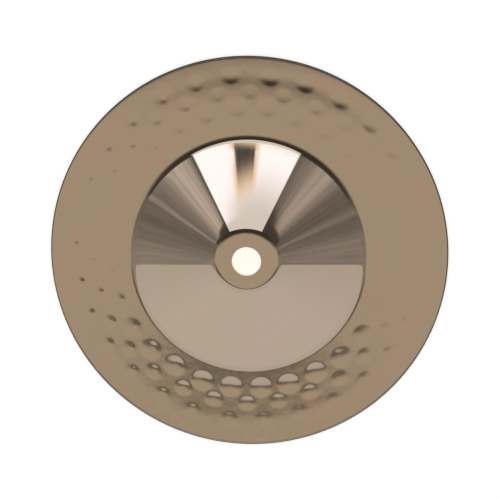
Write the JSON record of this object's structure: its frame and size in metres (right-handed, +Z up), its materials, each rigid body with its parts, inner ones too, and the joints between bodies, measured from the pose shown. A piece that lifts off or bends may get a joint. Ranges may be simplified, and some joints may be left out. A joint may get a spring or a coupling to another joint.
{
  "type": "bell cymbal",
  "caption": "Small thick bell cymbal: wide conical bell, flat seat round its mounting hole, nearly flat hammered bow.",
  "frame": {"origin": "on the bell's axis, level with the rim's lower edge that the cymbal stands on", "axes": "+Z up along the bell's axis; +X is an arbitrary direction across the disc, to the right in the picture"},
  "size_m": [0.1778, 0.1778, 0.0182],
  "materials": {
    "bronze": "polished cast bell bronze"
  },
  "bodies": {
    "root": {"bell_cymbal": "bronze"}
  },
  "joints": []
}
